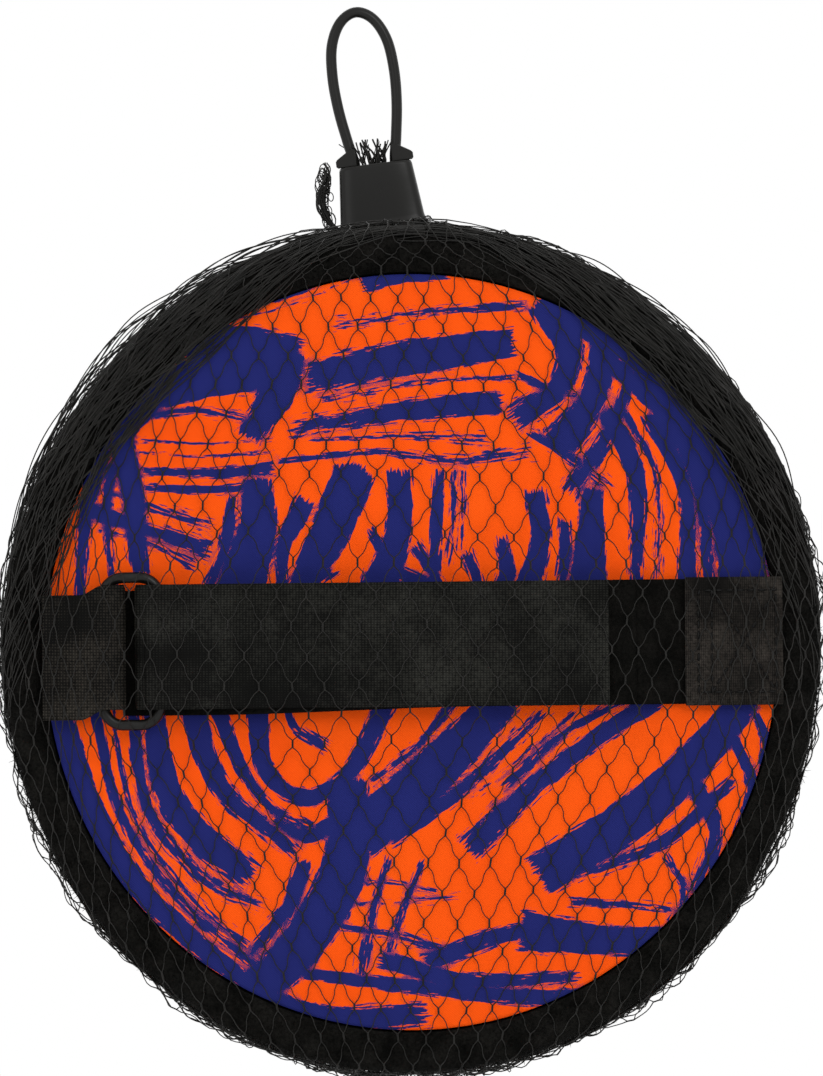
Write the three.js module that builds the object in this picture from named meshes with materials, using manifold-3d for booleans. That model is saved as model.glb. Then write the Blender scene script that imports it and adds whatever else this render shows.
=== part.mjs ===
// Catch-disc set in a net bag: two padded catch discs with hand straps, one ball between them,
// a knotted net bag round all three, and a moulded clip (ferrule and hang loop) that closes the bag.
// Millimetres, +Z up, the front disc faces -Y. The origin is inside the crown of the hang loop.
import * as THREE from "three";
import { mergeVertices } from "three/addons/utils/BufferGeometryUtils.js";
import Module from "manifold-3d";

const wasm = await Module();
wasm.setup();

// ---- driving dimensions ----
const GAP = 0.3; // clearance between touching pieces
const DISC_HALF_WIDTH = 97.8;
const DISC_HALF_HEIGHT = 101;
const BALL_RADIUS = 31;
const RIM_WIDTH = 9.8;
const WEBBING_WIDTH = 30;
const FOLD_DEPTH = 47.6; // how far the buckle ring lies in front of the middle plane
const RING_BAR = 2.6;
const STRAP_TILT = THREE.MathUtils.degToRad(-0.6);
const STRAP_HEIGHT = 1.9; // strap centre above the disc centre
const CLIP_TILT = THREE.MathUtils.degToRad(-7.5);
const CLIP_TOP = new THREE.Vector3(-8.7, 0, 118); // top of the ferrule, from the disc centre
const LOOP_BAR_RADIUS = 1.3;
const LOOP_HEIGHT = 37; // ferrule top to the loop's centre line at the crown
const FERRULE_HEIGHT = 15.2;
const FERRULE_DEPTH = 9;
const NET_THICKNESS = 0.6;

// ---- sizes worked out from them ----
const DISC_RADIUS = (DISC_HALF_WIDTH + DISC_HALF_HEIGHT) / 2;
const OVAL = new THREE.Vector3(DISC_HALF_WIDTH / DISC_RADIUS, 1, DISC_HALF_HEIGHT / DISC_RADIUS);
const COVER_RADIUS = DISC_RADIUS - RIM_WIDTH - GAP;
const PAD_BACK = BALL_RADIUS + 0.5; // depths are counted outwards from the middle plane
const PAD_FACE = PAD_BACK + 3.6;
const BOARD_FRONT = PAD_FACE + GAP + 5.9;
const COVER_BACK = BOARD_FRONT + GAP;
const COVER_FRONT = COVER_BACK + 1.4;
const RIM_FRONT = COVER_FRONT + 0.4;
const ROUND_SEGMENTS = 56;

const COLOURS = {
  plush: 0x0e0e0d,
  board: 0x55504a,
  print: 0xf05c20,
  webbing: 0x242320,
  hook: 0x1c1b19,
  plastic: 0x24221f,
  thread: 0x161514,
  ball: 0xf26a1b,
  rubber: 0x8c8a84,
};

function material(colour, roughness) {
  return new THREE.MeshStandardMaterial({ color: colour, roughness, metalness: 0 });
}

const MATERIALS = {
  plush: material(COLOURS.plush, 1),
  board: material(COLOURS.board, 0.9),
  print: material(COLOURS.print, 0.85),
  webbing: material(COLOURS.webbing, 0.9),
  hook: material(COLOURS.hook, 0.8),
  plastic: material(COLOURS.plastic, 0.35),
  thread: material(COLOURS.thread, 0.6),
  ball: material(COLOURS.ball, 1),
  rubber: material(COLOURS.rubber, 0.8),
};

// ---- geometry helpers ----
function signedVolume(geometry) {
  const place = geometry.getAttribute("position");
  const index = geometry.getIndex();
  const [a, b, c] = [new THREE.Vector3(), new THREE.Vector3(), new THREE.Vector3()];
  let sum = 0;
  for (let i = 0; i < index.count; i += 3) {
    a.fromBufferAttribute(place, index.getX(i));
    b.fromBufferAttribute(place, index.getX(i + 1));
    c.fromBufferAttribute(place, index.getX(i + 2));
    sum += a.dot(b.cross(c));
  }
  return sum / 6;
}

// Positions only, shared vertices merged, flat triangles dropped, every face outwards.
function clean(geometry) {
  const bare = geometry.clone();
  bare.deleteAttribute("normal");
  bare.deleteAttribute("uv");
  const merged = mergeVertices(bare, 1e-4);
  const old = merged.getIndex().array;
  const kept = [];
  for (let i = 0; i < old.length; i += 3) {
    const [p, q, r] = [old[i], old[i + 1], old[i + 2]];
    if (p !== q && q !== r && r !== p) kept.push(p, q, r);
  }
  merged.setIndex(kept);
  if (signedVolume(merged) < 0) {
    for (let i = 0; i < kept.length; i += 3) [kept[i], kept[i + 1]] = [kept[i + 1], kept[i]];
    merged.setIndex(kept);
  }
  return merged;
}

function solidOf(geometry) {
  const source = clean(geometry);
  const mesh = new wasm.Mesh({
    numProp: 3,
    vertProperties: new Float32Array(source.getAttribute("position").array),
    triVerts: new Uint32Array(source.getIndex().array),
  });
  return new wasm.Manifold(mesh);
}

function geometryOf(solid) {
  const mesh = solid.getMesh();
  const geometry = new THREE.BufferGeometry();
  geometry.setAttribute("position", new THREE.BufferAttribute(mesh.vertProperties, 3));
  geometry.setIndex(new THREE.BufferAttribute(mesh.triVerts, 1));
  return geometry;
}

function piece(name, geometry, slot) {
  const mesh = new THREE.Mesh(clean(geometry), MATERIALS[slot]);
  mesh.name = name;
  return mesh;
}

// A round piece about the disc's axis, stretched to the disc's oval. Points are [radius, depth].
function oval(points) {
  const profile = points.map(([radius, depth]) => new THREE.Vector2(radius, -depth));
  const geometry = new THREE.LatheGeometry(profile, ROUND_SEGMENTS);
  return geometry.scale(OVAL.x, OVAL.y, OVAL.z);
}

// A strip of cloth that runs along a line of [x, depth] points, as wide as given along Z.
function ribbon(points, thickness, width) {
  const ahead = (i) => points[Math.min(i + 1, points.length - 1)];
  const behind = (i) => points[Math.max(i - 1, 0)];
  const side = (sign) =>
    points.map(([x, depth], i) => {
      const along = new THREE.Vector2(ahead(i)[0] - behind(i)[0], behind(i)[1] - ahead(i)[1]).normalize();
      const half = (sign * thickness) / 2;
      return new THREE.Vector2(x - along.y * half, -depth + along.x * half);
    });
  const outline = new THREE.Shape([...side(1), ...side(-1).reverse()]);
  const geometry = new THREE.ExtrudeGeometry(outline, { depth: width, bevelEnabled: false });
  return geometry.translate(0, 0, -width / 2);
}

// Points of an arc in [x, depth], angles in degrees from +x towards larger depth.
function arc(x, depth, radius, from, to, steps) {
  return Array.from({ length: steps + 1 }, (_, i) => {
    const angle = THREE.MathUtils.degToRad(from + ((to - from) * i) / steps);
    return [x + radius * Math.cos(angle), depth + radius * Math.sin(angle)];
  });
}

function roundedRectangle(halfWidth, halfHeight, radius, target = new THREE.Shape()) {
  const corners = [
    [halfWidth - radius, halfHeight - radius, 0],
    [radius - halfWidth, halfHeight - radius, 1],
    [radius - halfWidth, radius - halfHeight, 2],
    [halfWidth - radius, radius - halfHeight, 3],
  ];
  target.moveTo(halfWidth, halfHeight - radius);
  for (const [x, y, quarter] of corners) {
    target.absarc(x, y, radius, (quarter * Math.PI) / 2, ((quarter + 1) * Math.PI) / 2, false);
  }
  return target;
}

// ---- one catch disc: local frame, outside towards -Y, hand strap across the outside ----
function catchPad() {
  const rimInner = DISC_RADIUS - RIM_WIDTH;
  const corner = 4.4;
  const outerArc = arc(DISC_RADIUS - corner, PAD_BACK + corner, corner, -90, 0, 4);
  const frontArc = arc(DISC_RADIUS - corner, RIM_FRONT - corner, corner, 0, 90, 4);
  return oval([
    [0, PAD_BACK],
    ...outerArc,
    ...frontArc,
    [rimInner + 1.6, RIM_FRONT],
    [rimInner, RIM_FRONT - 1.4],
    [rimInner, PAD_FACE],
    [0, PAD_FACE],
  ]);
}

function slab(radius, back, front) {
  return oval([[0, back], [radius, back], [radius, front], [0, front]]);
}

const TAB_FOLD_X = -72;
const STRAP_FOLD_X = -62.4;
const STRAP_FOLD_RADIUS = 3.2;
const HOOK_STRAP_END = 47.5;
const PATCH_FROM = 65.8;
const PATCH_TO = 87.4;
const PATCH_LAYER = COVER_FRONT + 0.9; // centre depth of the strap end under the patch
const PATCH_BACK = PATCH_LAYER + 0.5 + GAP;
const PATCH_FRONT = PATCH_BACK + 1.4;
const STRAP_BOW = 48.2; // centre depth of the loop strap where a hand goes under it

function ringTab() {
  const fold = arc(TAB_FOLD_X, FOLD_DEPTH, 3, -90, 90, 8);
  const back = [[-85.5, COVER_FRONT + 1], [-78, COVER_FRONT + 1.1]];
  const front = [[-78, 49.2], [-82, 47.6], [-86.4, 46.6]];
  return ribbon([...back, ...fold, ...front], 1.2, WEBBING_WIDTH);
}

function buckleRing() {
  const outline = roundedRectangle(8.05, 19, 6);
  outline.holes.push(roundedRectangle(8.05 - RING_BAR, 19 - RING_BAR, 6 - RING_BAR, new THREE.Path()));
  const bevel = 0.7;
  const options = { depth: RING_BAR - 2 * bevel, bevelThickness: bevel, bevelSize: bevel };
  options.bevelOffset = -bevel;
  options.bevelSegments = 2;
  options.curveSegments = 5;
  const geometry = new THREE.ExtrudeGeometry(outline, options);
  geometry.translate(0, 0, bevel - RING_BAR / 2).rotateX(Math.PI / 2);
  return geometry.translate(-67.05, -FOLD_DEPTH, -1);
}

function loopStrap() {
  const rise = [[-56.2, 44.4], [-52, 44.9], [-46, 46.5], [-40, STRAP_BOW - 0.2], [-34, STRAP_BOW]];
  const fall = [[48, STRAP_BOW], [54, 47.2], [60, 45.2], [65, PATCH_LAYER], [PATCH_TO - 1, PATCH_LAYER]];
  return ribbon([...rise, ...fall], 1, WEBBING_WIDTH);
}

function hookStrap() {
  const fold = arc(STRAP_FOLD_X, FOLD_DEPTH, STRAP_FOLD_RADIUS, -90, -270, 10);
  const top = [[-50, 50.5], [-38, 49.8], [-30, 49.7], [HOOK_STRAP_END, 49.7]];
  return ribbon([[-58.2, FOLD_DEPTH - STRAP_FOLD_RADIUS], ...fold, ...top], 1.3, WEBBING_WIDTH);
}

const PATCH_CUT = { depth: PATCH_FRONT - PATCH_BACK, bevelEnabled: false, curveSegments: 3 };

function anchorPatch() {
  const outline = roundedRectangle((PATCH_TO - PATCH_FROM) / 2, WEBBING_WIDTH / 2 + 0.4, 0.8);
  const geometry = new THREE.ExtrudeGeometry(outline, PATCH_CUT);
  return geometry.rotateX(Math.PI / 2).translate((PATCH_FROM + PATCH_TO) / 2, -PATCH_BACK, 0);
}

// A sewn box with a cross in it: one raised line of stitches round a rectangle and along its diagonals.
function boxStitching() {
  const [halfWidth, halfHeight, line] = [8.2, 12.2, 0.35];
  const outline = roundedRectangle(halfWidth + line, halfHeight + line, 0.2);
  const slope = halfHeight / halfWidth;
  const across = line * Math.hypot(1, slope) + line;
  const along = line * Math.hypot(1, 1 / slope) + line;
  const [innerX, innerY] = [halfWidth - line, halfHeight - line];
  const triangles = [
    [[innerX, innerY - across], [innerX, across - innerY], [along, 0]],
    [[-innerX, innerY - across], [-along, 0], [-innerX, across - innerY]],
    [[innerX - along, innerY], [0, across], [along - innerX, innerY]],
    [[innerX - along, -innerY], [along - innerX, -innerY], [0, -across]],
  ];
  for (const corners of triangles) {
    outline.holes.push(new THREE.Path(corners.map(([x, y]) => new THREE.Vector2(x, y))));
  }
  const options = { depth: 0.4, bevelEnabled: false, curveSegments: 2 };
  const geometry = new THREE.ExtrudeGeometry(outline, options);
  geometry.rotateX(Math.PI / 2);
  return geometry.translate((PATCH_FROM + PATCH_TO) / 2 + 1.6, -PATCH_FRONT - GAP, 0);
}

function disc(side) {
  const body = new THREE.Group();
  body.add(
    piece(`${side}_catch_pad`, catchPad(), "plush"),
    piece(`${side}_board`, slab(COVER_RADIUS, PAD_FACE + GAP, BOARD_FRONT), "board"),
    piece(`${side}_cover`, slab(COVER_RADIUS, COVER_BACK, COVER_FRONT), "print"),
  );
  const strap = new THREE.Group();
  strap.position.z = STRAP_HEIGHT;
  strap.rotation.y = STRAP_TILT;
  strap.add(
    piece(`${side}_ring_tab`, ringTab(), "webbing"),
    piece(`${side}_ring`, buckleRing(), "plastic"),
    piece(`${side}_loop_strap`, loopStrap(), "plush"),
    piece(`${side}_hook_strap`, hookStrap(), "hook"),
    piece(`${side}_anchor_patch`, anchorPatch(), "webbing"),
    piece(`${side}_box_stitching`, boxStitching(), "thread"),
  );
  body.add(strap);
  return body;
}

// ---- the ball between the discs: a rubber core in two felt halves ----
function feltHalf() {
  const inner = BALL_RADIUS - 1.8;
  const edge = (radius) => (Math.asin(GAP / 2 / radius) * 180) / Math.PI;
  const outside = arc(0, 0, BALL_RADIUS, edge(BALL_RADIUS), 90, 9);
  const inside = arc(0, 0, inner, 90, edge(inner), 9);
  const profile = [...outside, ...inside, outside[0]].map(([radius, y]) => {
    return new THREE.Vector2(Math.max(radius, 0) < 1e-6 ? 0 : radius, y);
  });
  return new THREE.LatheGeometry(profile, 28).rotateX(Math.PI / 2);
}

function ball() {
  const group = new THREE.Group();
  const below = feltHalf().rotateX(Math.PI);
  group.add(
    piece("ball_core", new THREE.SphereGeometry(BALL_RADIUS - 1.8 - GAP, 24, 16), "rubber"),
    piece("ball_felt_upper", feltHalf(), "ball"),
    piece("ball_felt_lower", below, "ball"),
  );
  return group;
}

// ---- the net bag: front and rear panels over the straps, a band round the edge, the gathered neck ----
const NET_INSIDE = DISC_RADIUS + GAP + 0.05;
const BAND_HALF_DEPTH = 38;
const CREST = 52.6; // inside depth of the net where it crosses the straps

function netPanel() {
  const inside = [
    [NET_INSIDE, BAND_HALF_DEPTH + GAP],
    [NET_INSIDE, 40.6],
    [DISC_RADIUS - 1, 43.2],
    [DISC_RADIUS - 4.2, 45.1],
    [DISC_RADIUS - 9, 47.2],
    [84, 50.4],
    [76, CREST - 0.5],
    [66, CREST],
    [40, CREST + 0.7],
    [0, CREST + 1],
  ];
  const outside = inside.map(([radius, depth], i) => {
    const lean = i === 0 ? [NET_THICKNESS, 0] : [NET_THICKNESS * 0.5, NET_THICKNESS];
    return radius === 0 ? [0, depth + NET_THICKNESS] : [radius + lean[0], depth + lean[1]];
  });
  return oval([...inside.slice().reverse(), ...outside]);
}

function netBand() {
  const outside = NET_INSIDE + NET_THICKNESS;
  const loop = [
    [NET_INSIDE, -BAND_HALF_DEPTH],
    [outside, -BAND_HALF_DEPTH],
    [outside, BAND_HALF_DEPTH],
    [NET_INSIDE, BAND_HALF_DEPTH],
    [NET_INSIDE, -BAND_HALF_DEPTH],
  ];
  return oval(loop);
}

// The bunched net inside the ferrule, in the clip's frame, with its cut ends standing between the legs.
function netNeck() {
  const outline = roundedRectangle(3.2, 2.7, 1.4);
  const geometry = new THREE.ExtrudeGeometry(outline, { depth: 19, bevelEnabled: false, curveSegments: 3 });
  return geometry.translate(0, 0, 0.4 - FERRULE_HEIGHT);
}

// Spare net that bulges out beside the ferrule.
function netTail() {
  const outline = new THREE.Shape();
  outline.moveTo(-10.9, -14.6);
  outline.quadraticCurveTo(-15.4, -11, -13.6, -4);
  outline.quadraticCurveTo(-12.6, 0.6, -11.4, -1.2);
  outline.quadraticCurveTo(-12.6, -6, -11.4, -10);
  outline.closePath();
  const geometry = new THREE.ExtrudeGeometry(outline, { depth: 5, bevelEnabled: false, curveSegments: 5 });
  return geometry.rotateX(Math.PI / 2).translate(0, 2.5, 0);
}

// ---- the moulded clip, in its own tilted frame: origin at the middle of the ferrule's top ----
function ferrule() {
  const [topHalf, wall] = [8.8, 1.3];
  const outline = roundedRectangle(topHalf, FERRULE_DEPTH / 2, 2.4);
  outline.holes.push(roundedRectangle(topHalf - wall, FERRULE_DEPTH / 2 - wall, 1.2, new THREE.Path()));
  const options = { depth: FERRULE_HEIGHT, bevelEnabled: false, curveSegments: 4, steps: 4 };
  const geometry = new THREE.ExtrudeGeometry(outline, options).translate(0, 0, -FERRULE_HEIGHT);
  const place = geometry.getAttribute("position");
  for (let i = 0; i < place.count; i++) {
    const down = -place.getZ(i) / FERRULE_HEIGHT;
    const lip = 0.035 * Math.max(0, down * 4 - 3);
    place.setX(i, place.getX(i) * (1 + 0.185 * down + lip));
    place.setY(i, place.getY(i) * (1 + 0.06 * down + lip * 2));
  }
  return geometry;
}

function hangLoop() {
  const half = [[4.9, -9], [4.9, -4], [4.9, 0.6], [5.9, 6], [7.1, 14], [7.5, 22], [6.7, 29.5], [4, 34.9]];
  const rightSide = half.map(([x, z]) => new THREE.Vector3(x, 0, z));
  const leftSide = half.map(([x, z]) => new THREE.Vector3(-x, 0, z)).reverse();
  const crown = new THREE.Vector3(0, 0, LOOP_HEIGHT);
  const path = new THREE.CatmullRomCurve3([...rightSide, crown, ...leftSide], false, "centripetal");
  const section = new THREE.Shape().absarc(0, 0, LOOP_BAR_RADIUS, 0, Math.PI * 2, false);
  const options = { extrudePath: path, steps: 56, curveSegments: 5, bevelEnabled: false };
  let solid = solidOf(new THREE.ExtrudeGeometry(section, options));
  for (const sign of [-1, 1]) {
    const wedge = new THREE.Shape();
    wedge.moveTo(sign * 4.2, GAP);
    wedge.lineTo(sign * 9.2, GAP);
    wedge.lineTo(sign * 9.4, 1.7);
    wedge.lineTo(sign * 5.4, 4.2);
    wedge.closePath();
    const shoulder = new THREE.ExtrudeGeometry(wedge, { depth: 4.4, bevelEnabled: false });
    solid = solid.add(solidOf(shoulder.rotateX(Math.PI / 2).translate(0, 2.2, 0)));
  }
  return geometryOf(solid);
}

function clip() {
  const group = new THREE.Group();
  group.position.copy(CLIP_TOP);
  group.rotation.y = CLIP_TILT;
  group.add(
    piece("hang_loop", hangLoop(), "plastic"),
    piece("ferrule", ferrule(), "plastic"),
    piece("net_neck", netNeck(), "thread"),
    piece("net_tail", netTail(), "thread"),
  );
  return group;
}

// ---- assembly ----
const frontDisc = disc("front");
const rearDisc = disc("rear");
rearDisc.rotation.z = Math.PI;

const rearPanel = new THREE.Group();
rearPanel.rotation.z = Math.PI;
rearPanel.add(piece("net_rear", netPanel(), "thread"));

const contents = new THREE.Group();
const crownInside = new THREE.Vector3(0, 0, LOOP_HEIGHT - LOOP_BAR_RADIUS);
crownInside.applyAxisAngle(new THREE.Vector3(0, 1, 0), CLIP_TILT).add(CLIP_TOP);
contents.position.copy(crownInside).negate();
contents.add(
  frontDisc,
  rearDisc,
  ball(),
  piece("net_front", netPanel(), "thread"),
  rearPanel,
  piece("net_band", netBand(), "thread"),
  clip(),
);

const set = new THREE.Group();
set.add(contents);

export default set;
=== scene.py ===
"""Catch-disc set in a net bag: looks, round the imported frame. Metres, +Z up, the front disc faces -Y."""
import math
import bpy
import numpy as np
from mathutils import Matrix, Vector, noise


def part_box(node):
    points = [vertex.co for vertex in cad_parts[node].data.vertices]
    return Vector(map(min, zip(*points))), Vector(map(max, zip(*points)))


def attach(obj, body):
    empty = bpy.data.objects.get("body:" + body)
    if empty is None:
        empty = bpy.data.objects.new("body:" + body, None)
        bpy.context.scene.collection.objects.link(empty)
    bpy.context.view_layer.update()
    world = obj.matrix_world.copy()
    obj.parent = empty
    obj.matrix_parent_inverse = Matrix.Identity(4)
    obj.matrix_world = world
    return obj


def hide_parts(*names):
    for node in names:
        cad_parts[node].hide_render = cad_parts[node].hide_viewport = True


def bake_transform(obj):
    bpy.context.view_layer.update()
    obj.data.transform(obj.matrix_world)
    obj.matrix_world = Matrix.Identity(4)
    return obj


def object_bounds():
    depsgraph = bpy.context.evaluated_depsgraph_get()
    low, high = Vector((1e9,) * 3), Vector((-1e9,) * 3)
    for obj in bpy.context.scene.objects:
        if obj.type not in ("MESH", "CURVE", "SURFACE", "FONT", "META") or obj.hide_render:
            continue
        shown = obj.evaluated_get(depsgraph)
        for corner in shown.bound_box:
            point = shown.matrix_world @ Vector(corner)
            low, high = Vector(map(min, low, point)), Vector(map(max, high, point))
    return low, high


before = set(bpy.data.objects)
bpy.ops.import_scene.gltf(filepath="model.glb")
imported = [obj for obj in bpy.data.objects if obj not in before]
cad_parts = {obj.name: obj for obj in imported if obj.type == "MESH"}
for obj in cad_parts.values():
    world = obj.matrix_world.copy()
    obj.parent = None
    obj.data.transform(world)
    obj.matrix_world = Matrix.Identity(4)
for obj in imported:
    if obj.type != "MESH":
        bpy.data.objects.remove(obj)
CAD_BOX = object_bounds()
MM = 0.001

# ---- places and sizes, from the frame ----
cover_low, cover_high = (np.array(v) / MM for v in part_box("front_cover"))
pad_low, pad_high = (np.array(v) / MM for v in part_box("front_catch_pad"))
CENTRE = np.array([(pad_low[0] + pad_high[0]) / 2, 0.0, (pad_low[2] + pad_high[2]) / 2])
HALF_WIDTH, HALF_HEIGHT = (pad_high[0] - pad_low[0]) / 2, (pad_high[2] - pad_low[2]) / 2
DISC_RADIUS = (HALF_WIDTH + HALF_HEIGHT) / 2
OVAL_X, OVAL_Z = HALF_WIDTH / DISC_RADIUS, HALF_HEIGHT / DISC_RADIUS
COVER_RADIUS = (cover_high[2] - cover_low[2]) / 2 / OVAL_Z
COVER_FRONT, COVER_BACK = -cover_low[1], -cover_high[1]
RIM_FRONT, PAD_BACK = -pad_low[1], -pad_high[1]
RIM_CORNER = 4.4
BALL_RADIUS = (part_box("ball_felt_upper")[1][0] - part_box("ball_felt_upper")[0][0]) / 2 / MM

STRAP_TILT = math.radians(-0.6)
STRAP_HEIGHT = 1.9
WEBBING_WIDTH = 30.0
RING_DEPTH = 47.6
RING_X = -67.05
RING_HALF_WIDTH, RING_HALF_HEIGHT, RING_CORNER, RING_BAR = 8.05, 19.0, 6.0, 1.3
CLIP_TILT = math.radians(-7.5)
CLIP_TOP = np.array([-8.7, 0.0, 118.0])
FERRULE_HEIGHT = 15.2
LOOP_HEIGHT = 37.0
THREAD_RADIUS = 0.13


# ---- frames: disc-local millimetres to the row's metres ----
def on_disc(points, side="front"):
    """Local points: x right seen from outside, depth outwards as -y, z up."""
    p = np.asarray(points, float).reshape(-1, 3)
    if side == "rear":
        p = p * [-1, -1, 1]
    return (p + CENTRE) * MM


def tilted(points, angle, origin):
    p = np.asarray(points, float).reshape(-1, 3)
    c, s = math.cos(angle), math.sin(angle)
    turned = np.stack([p[:, 0] * c + p[:, 2] * s, p[:, 1], p[:, 2] * c - p[:, 0] * s], 1)
    return turned + origin


def on_strap(points, side):
    return on_disc(tilted(points, STRAP_TILT, [0, 0, STRAP_HEIGHT]), side)


def on_clip(points):
    return on_disc(tilted(points, CLIP_TILT, CLIP_TOP))


def smooth(x):
    t = np.clip(x, 0, 1)
    return t * t * (3 - 2 * t)


def catmull(points, per_span=8):
    """A smooth line through given points."""
    p = np.asarray(points, float)
    p = np.vstack([2 * p[0] - p[1], p, 2 * p[-1] - p[-2]])
    t = np.linspace(0, 1, per_span, endpoint=False)[:, None]
    spans = []
    for a, b, c, d in zip(p[:-3], p[1:-2], p[2:-1], p[3:]):
        bend = (2 * a - 5 * b + 4 * c - d) * t**2 + (3 * b - a - 3 * c + d) * t**3
        spans.append(0.5 * (2 * b + (c - a) * t + bend))
    return np.vstack(spans + [p[-2:-1]])


def even(points, step):
    """The same line with points an even step apart."""
    p = np.asarray(points, float)
    run = np.concatenate([[0], np.cumsum(np.linalg.norm(np.diff(p, axis=0), axis=1))])
    count = max(int(round(run[-1] / step)), 2) + 1
    at = np.linspace(0, run[-1], count)
    return np.stack([np.interp(at, run, p[:, k]) for k in range(p.shape[1])], 1)


# ---- mesh helpers ----
def mesh_object(name, verts, faces, material, shade=True):
    mesh = bpy.data.meshes.new(name)
    mesh.from_pydata(np.asarray(verts).tolist(), [], faces.tolist() if hasattr(faces, "shape") else faces)
    mesh.materials.append(material)
    if shade:
        mesh.polygons.foreach_set("use_smooth", np.ones(len(mesh.polygons), bool))
    mesh.update()
    obj = bpy.data.objects.new(name, mesh)
    bpy.context.collection.objects.link(obj)
    return obj


def grid_faces(rows, columns, wrap_rows=False, wrap_columns=False):
    i = np.arange(rows if wrap_rows else rows - 1)
    j = np.arange(columns if wrap_columns else columns - 1)
    i, j = np.meshgrid(i, j, indexing="ij")
    i2, j2 = (i + 1) % rows, (j + 1) % columns
    quads = np.stack([i * columns + j, i * columns + j2, i2 * columns + j2, i2 * columns + j], -1)
    return quads.reshape(-1, 4)


def capped_tube(rows, columns):
    """Faces of a grid that closes round its columns, with its first and last rows filled."""
    faces = grid_faces(rows, columns, wrap_columns=True).tolist()
    return faces + [list(range(columns))[::-1], [(rows - 1) * columns + k for k in range(columns)]]


def sweep(path, radius, sides=8, closed=False):
    """Vertices and faces of a round bar along a path, with flat ends unless it is closed."""
    p = np.asarray(path, float)
    count = len(p)
    if closed:
        tangent = np.roll(p, -1, 0) - np.roll(p, 1, 0)
    else:
        tangent = np.gradient(p, axis=0)
    tangent /= np.linalg.norm(tangent, axis=1)[:, None] + 1e-12
    normal = np.cross(tangent, [0.0, 1.0, 0.001])
    normal /= np.linalg.norm(normal, axis=1)[:, None] + 1e-12
    side = np.cross(tangent, normal)
    angle = np.arange(sides) * 2 * math.pi / sides
    r = np.broadcast_to(np.asarray(radius, float).reshape(-1, 1, 1), (count, 1, 1))
    ring = np.cos(angle)[None, :, None] * normal[:, None] + np.sin(angle)[None, :, None] * side[:, None]
    verts = (p[:, None] + r * ring).reshape(-1, 3)
    if closed:
        return verts, grid_faces(count, sides, wrap_rows=True, wrap_columns=True).tolist()
    return verts, capped_tube(count, sides)


def joined(parts):
    """Several (verts, faces) as one."""
    verts, faces, start = [], [], 0
    for v, f in parts:
        verts.append(v)
        faces.extend([[i + start for i in face] for face in f])
        start += len(v)
    return np.vstack(verts), faces


# ---- material helpers ----
class Shader:
    """A small node-tree writer."""

    def __init__(self, name):
        self.material = bpy.data.materials.new(name)
        self.material.use_nodes = True
        self.nodes = self.material.node_tree.nodes
        self.links = self.material.node_tree.links
        self.bsdf = self.nodes["Principled BSDF"]

    def put(self, socket, value):
        if isinstance(value, bpy.types.NodeSocket):
            self.links.new(value, socket)
        else:
            socket.default_value = value

    def node(self, kind, **inputs):
        node = self.nodes.new(kind)
        for key, value in inputs.items():
            self.put(node.inputs[key.replace("_", " ")], value)
        return node

    def place(self, scale=(1, 1, 1), turn=(0, 0, 0)):
        coords = self.nodes.new("ShaderNodeTexCoord")
        mapping = self.node("ShaderNodeMapping", Scale=scale, Rotation=turn)
        self.links.new(coords.outputs["Object"], mapping.inputs["Vector"])
        return mapping.outputs[0]

    def noise(self, vector, scale, detail=3.0, roughness=0.55):
        inputs = {"Vector": vector, "Scale": scale, "Detail": detail, "Roughness": roughness}
        return self.node("ShaderNodeTexNoise", **inputs).outputs["Fac"]

    def wave(self, vector, scale, distortion=0.0, direction="X"):
        node = self.node("ShaderNodeTexWave", Vector=vector, Scale=scale, Distortion=distortion)
        node.bands_direction = direction
        return node.outputs["Fac"]

    def math(self, operation, a, b=0.0, c=0.0):
        node = self.nodes.new("ShaderNodeMath")
        node.operation = operation
        for socket, value in zip(node.inputs, (a, b, c)):
            self.put(socket, value)
        return node.outputs[0]

    def ramp(self, value, low, high, out_low=0.0, out_high=1.0):
        node = self.node("ShaderNodeMapRange", Value=value)
        for key, number in (("From Min", low), ("From Max", high), ("To Min", out_low), ("To Max", out_high)):
            self.put(node.inputs[key], number)
        return node.outputs[0]

    def mix(self, factor, a, b):
        node = self.nodes.new("ShaderNodeMix")
        node.data_type = "RGBA"
        self.put(node.inputs["Factor"], factor)
        self.put(node.inputs["A"], a)
        self.put(node.inputs["B"], b)
        return node.outputs["Result"]

    def attribute(self, name):
        node = self.nodes.new("ShaderNodeAttribute")
        node.attribute_name = name
        return node

    def bump(self, height, strength, distance):
        node = self.node("ShaderNodeBump", Height=height, Strength=strength, Distance=distance)
        return node.outputs[0]

    def finish(self, colour, roughness, normal=None, **uniform):
        self.put(self.bsdf.inputs["Base Color"], colour)
        self.put(self.bsdf.inputs["Roughness"], roughness)
        if normal is not None:
            self.put(self.bsdf.inputs["Normal"], normal)
        for key, value in uniform.items():
            self.bsdf.inputs[key.replace("_", " ")].default_value = value
        return self.material


def srgb(r, g, b):
    """A linear colour from 0..255 screen values."""
    def linear(v):
        v /= 255
        return v / 12.92 if v <= 0.04045 else ((v + 0.055) / 1.055) ** 2.4
    return (linear(r), linear(g), linear(b), 1.0)


ORANGE_DEEP, ORANGE_LIGHT = srgb(232, 66, 6), srgb(246, 94, 18)
BLUE_DEEP, BLUE_LIGHT = srgb(24, 29, 84), srgb(36, 42, 112)


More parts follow.
